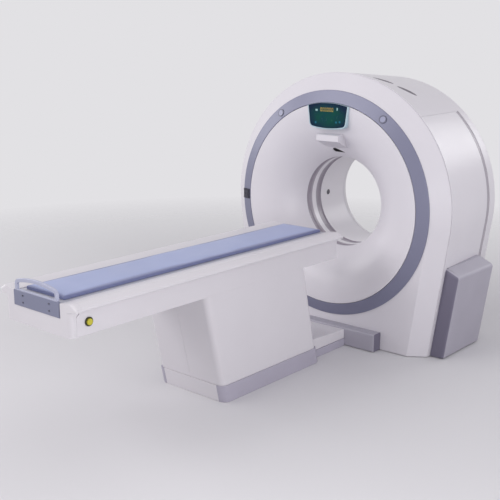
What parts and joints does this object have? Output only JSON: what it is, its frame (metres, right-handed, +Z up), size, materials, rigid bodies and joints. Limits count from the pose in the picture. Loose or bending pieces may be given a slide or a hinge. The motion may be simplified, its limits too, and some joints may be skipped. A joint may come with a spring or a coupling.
{
  "type": "ct scanner",
  "caption": "Whole-body ct scanner: ring gantry with round bore, accent ring and display, and a patient table whose padded cradle slides into the bore.",
  "frame": {"origin": "on the floor, on the gantry base's underside, directly under the isocentre", "axes": "+Y along the bore from the table to the rear, +X to the right when looking along +Y, +Z up"},
  "size_m": [2.108, 3.612, 2.0498],
  "materials": {
    "gantry_white": "satin moulded cover",
    "liner_white": "satin moulded liner",
    "ring_slate": "satin slate lavender paint",
    "seal_grey": "matte seal",
    "window_film": "translucent window film",
    "display_pale": "pale bezel",
    "display_dark": "dark teal display glass",
    "black_window": "dark laser window",
    "key_dark": "dark keys",
    "marker_grey": "round marker",
    "vent_grey": "grey vent grille",
    "foot_grey": "grey foot cover",
    "skirt_grey": "grey base skirt",
    "table_white": "satin moulded cover",
    "cradle_white": "carbon sandwich cradle",
    "pad_blue": "wipe-clean vinyl pad",
    "handle_lavender": "satin painted bar",
    "plate_lavender": "satin painted plate",
    "screw_steel": "steel screw heads",
    "button_yellow": "yellow button",
    "bezel_dark": "dark bezel",
    "frame_steel": "painted steel frame",
    "drum_aluminium": "machined aluminium",
    "bearing_steel": "ground bearing steel",
    "unit_grey": "painted unit casing",
    "belt_black": "black belt",
    "column_steel": "steel column"
  },
  "bodies": {
    "gantry": {"gantry_front_cover": "gantry_white", "front_funnel": "gantry_white", "accent_ring": "ring_slate", "ring_markers": "marker_grey", "key_panel": "key_dark", "display_bezel": "display_pale", "display_glass": "display_dark", "light_bracket": "gantry_white", "laser_window": "black_window", "gantry_top_cover": "gantry_white", "side_cover_left": "gantry_white", "side_cover_right": "gantry_white", "side_gaskets": "seal_grey", "top_vents": "vent_grey", "gantry_rear_cover": "gantry_white", "rear_funnel": "gantry_white", "bore_seals": "seal_grey", "scan_window": "window_film", "bore_liner": "liner_white", "foot_covers": "foot_grey", "front_ledge": "foot_grey", "gantry_base": "frame_steel", "stator_frame": "frame_steel", "bearing_outer_race": "bearing_steel", "drive_motor": "unit_grey", "drive_belt": "belt_black", "table_floor_plate": "frame_steel", "base_skirts": "skirt_grey", "base_end_panel": "table_white", "link_cover": "table_white", "lift_columns": "column_steel", "lift_actuator": "unit_grey"},
    "rotor": {"rotor_drum": "drum_aluminium", "bearing_inner_race": "bearing_steel", "slip_ring": "unit_grey", "xray_tube": "unit_grey", "collimator": "unit_grey", "detector": "unit_grey", "generator": "unit_grey", "counterweight": "frame_steel"},
    "pulley": {"drive_pulley": "drum_aluminium"},
    "table_top": {"trough": "column_steel", "tub_rims": "table_white", "side_panels": "table_white", "bottom_pan": "table_white", "tub_end_caps": "table_white", "table_frame": "frame_steel", "glides": "cradle_white", "button_bezel": "bezel_dark", "pedestal_covers": "table_white", "lift_rams": "column_steel", "lift_rod": "column_steel"},
    "cradle": {"cradle": "cradle_white", "table_pad": "pad_blue", "handle": "handle_lavender", "handle_plate": "plate_lavender", "plate_screws": "screw_steel"},
    "stop_button": {"stop_button": "button_yellow"},
    "upper_key": {"key_upper": "key_dark"},
    "lower_key": {"key_lower": "key_dark"}
  },
  "joints": [
    {"name": "rotor_spin", "type": "hinge", "parent": "gantry", "child": "rotor", "pos_m": [0, 0, 1.06], "axis": [0, 1, 0], "continuous": true},
    {"name": "pulley_spin", "type": "hinge", "parent": "gantry", "child": "pulley", "pos_m": [0.73559, 0, 0.33], "axis": [0, 1, 0], "continuous": true},
    {"name": "table_lift", "type": "slide", "parent": "gantry", "child": "table_top", "axis": [0, -0.2215, 0.9751], "range_m": [-0.06, 0.046]},
    {"name": "cradle_slide", "type": "slide", "parent": "table_top", "child": "cradle", "axis": [0, 1, 0], "range_m": [0, 1.7]},
    {"name": "stop_press", "type": "slide", "parent": "table_top", "child": "stop_button", "axis": [-1, 0, 0], "range_m": [0, 0.004], "stiffness_N_per_m": 1500, "springref_m": -0.002},
    {"name": "upper_key_press", "type": "slide", "parent": "gantry", "child": "upper_key", "axis": [0.3085, 0.9512, 0], "range_m": [0, 0.002], "stiffness_N_per_m": 1200, "springref_m": -0.001},
    {"name": "lower_key_press", "type": "slide", "parent": "gantry", "child": "lower_key", "axis": [0.3085, 0.9512, 0], "range_m": [0, 0.002], "stiffness_N_per_m": 1200, "springref_m": -0.001}
  ],
  "couplings": [
    {"joint": "pulley_spin", "follows": "rotor_spin", "ratio": 12.5}
  ]
}
